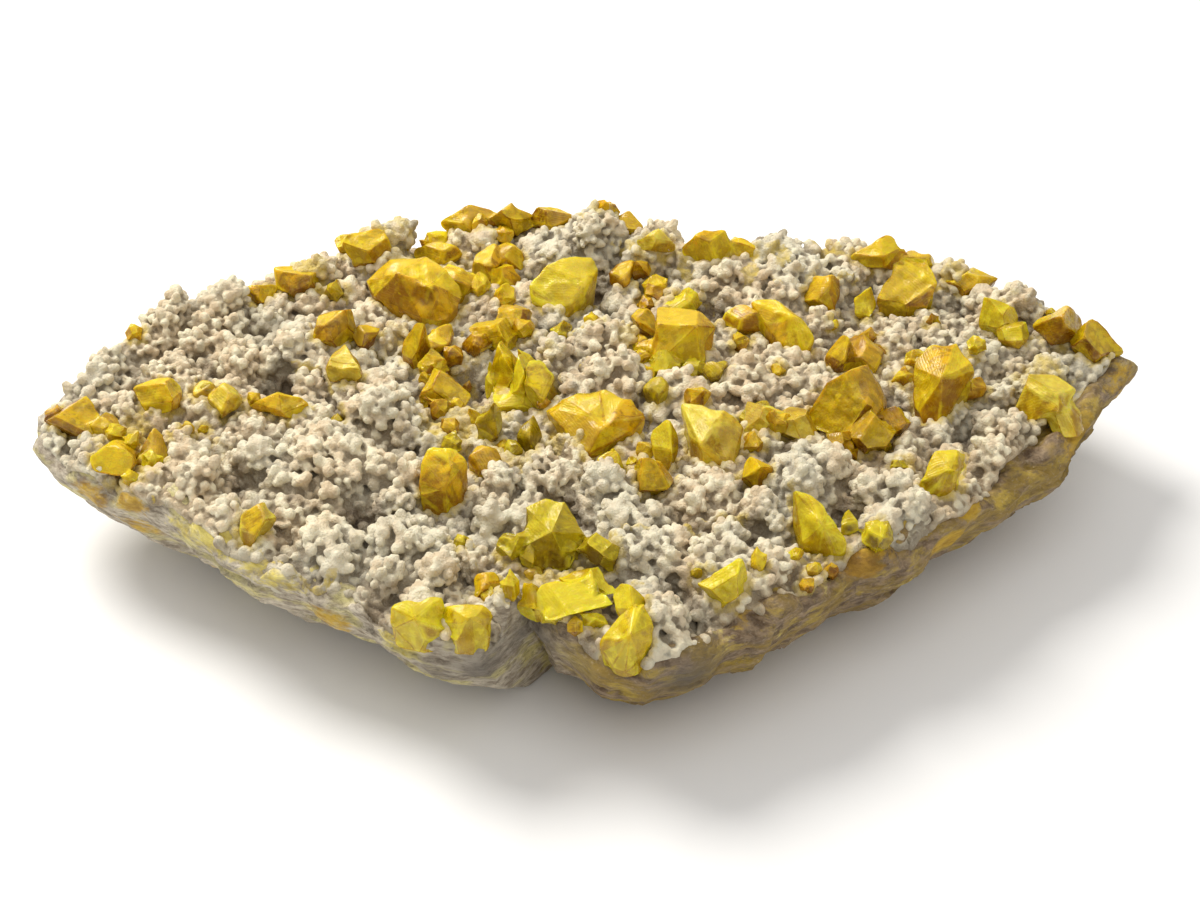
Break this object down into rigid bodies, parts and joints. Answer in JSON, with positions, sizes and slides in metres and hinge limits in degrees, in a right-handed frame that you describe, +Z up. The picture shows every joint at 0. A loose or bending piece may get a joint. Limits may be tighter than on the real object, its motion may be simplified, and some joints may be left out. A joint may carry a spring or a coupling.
{
  "type": "native sulfur crystals on crusted limestone matrix",
  "caption": "Slab of limestone with a nodular crust, set all over with blocky, pointed and ridged sulfur crystals; lies on a flat broken face.",
  "frame": {"origin": "centre of the bounding box's footprint, at the flat face that the slab lies on", "axes": "+X along the slab's longest way, +Y across it towards the side with the straighter edge, +Z up out of the crystal side"},
  "size_m": [0.2806, 0.178, 0.0531],
  "materials": {
    "crusted_limestone": "frosted nodular crust on a matt broken face",
    "sulfur_lemon": "translucent, resinous, finely rough",
    "sulfur_pale": "translucent, dusty",
    "sulfur_gold": "translucent, resinous",
    "sulfur_amber": "translucent, resinous",
    "sulfur_olive": "translucent, resinous, darker"
  },
  "bodies": {
    "root": {"matrix": "crusted_limestone", "sulfur_west_tip": "sulfur_amber", "sulfur_west_block": "sulfur_gold", "sulfur_west_mass": "sulfur_gold", "sulfur_west_pale": "sulfur_pale", "sulfur_west_slab": "sulfur_gold", "sulfur_west_lip": "sulfur_pale", "sulfur_northwest_flat": "sulfur_amber", "sulfur_north_steps": "sulfur_gold", "sulfur_great_gold": "sulfur_gold", "sulfur_north_amber": "sulfur_amber", "sulfur_north_rim": "sulfur_amber", "sulfur_north_trio": "sulfur_gold", "sulfur_north_lemon": "sulfur_lemon", "sulfur_inner_trio": "sulfur_amber", "sulfur_blades": "sulfur_lemon", "sulfur_tooth": "sulfur_gold", "sulfur_round_amber": "sulfur_amber", "sulfur_orange_pair": "sulfur_amber", "sulfur_cream": "sulfur_pale", "sulfur_golden_column": "sulfur_gold", "sulfur_half_hidden": "sulfur_amber", "sulfur_upright_olive": "sulfur_olive", "sulfur_olive_wedge": "sulfur_olive", "sulfur_olive_mass": "sulfur_olive", "sulfur_small_orange": "sulfur_amber", "sulfur_south_pair": "sulfur_lemon", "sulfur_mottled_mass": "sulfur_lemon", "sulfur_northeast_dust": "sulfur_amber", "sulfur_pale_slab": "sulfur_pale", "sulfur_rim_gold": "sulfur_gold", "sulfur_small_amber": "sulfur_amber", "sulfur_lemon_knob": "sulfur_lemon", "sulfur_neat_prism": "sulfur_amber", "sulfur_big_block": "sulfur_gold", "sulfur_tilted_pair": "sulfur_gold", "sulfur_east_pair": "sulfur_amber", "sulfur_gold_knob": "sulfur_gold", "sulfur_rim_bar": "sulfur_gold", "sulfur_lemon_spear": "sulfur_lemon", "sulfur_trapezoid": "sulfur_amber", "sulfur_dusty_dome": "sulfur_amber", "sulfur_green_bead": "sulfur_olive", "sulfur_dark_olive": "sulfur_olive", "sulfur_central_rhomb": "sulfur_gold", "sulfur_lemon_chip": "sulfur_lemon", "sulfur_bright_tooth": "sulfur_lemon", "sulfur_dark_triangle": "sulfur_amber", "sulfur_two_tone": "sulfur_pale", "sulfur_orange_round": "sulfur_amber", "sulfur_pale_row": "sulfur_pale", "sulfur_massive": "sulfur_amber", "sulfur_leaf": "sulfur_lemon", "sulfur_south_lemon": "sulfur_lemon", "sulfur_curved_tooth": "sulfur_lemon", "sulfur_east_beads": "sulfur_lemon", "sulfur_east_tip": "sulfur_amber", "sulfur_east_dome": "sulfur_gold", "sulfur_east_pale": "sulfur_pale", "sulfur_southeast_prism": "sulfur_lemon"}
  },
  "joints": []
}
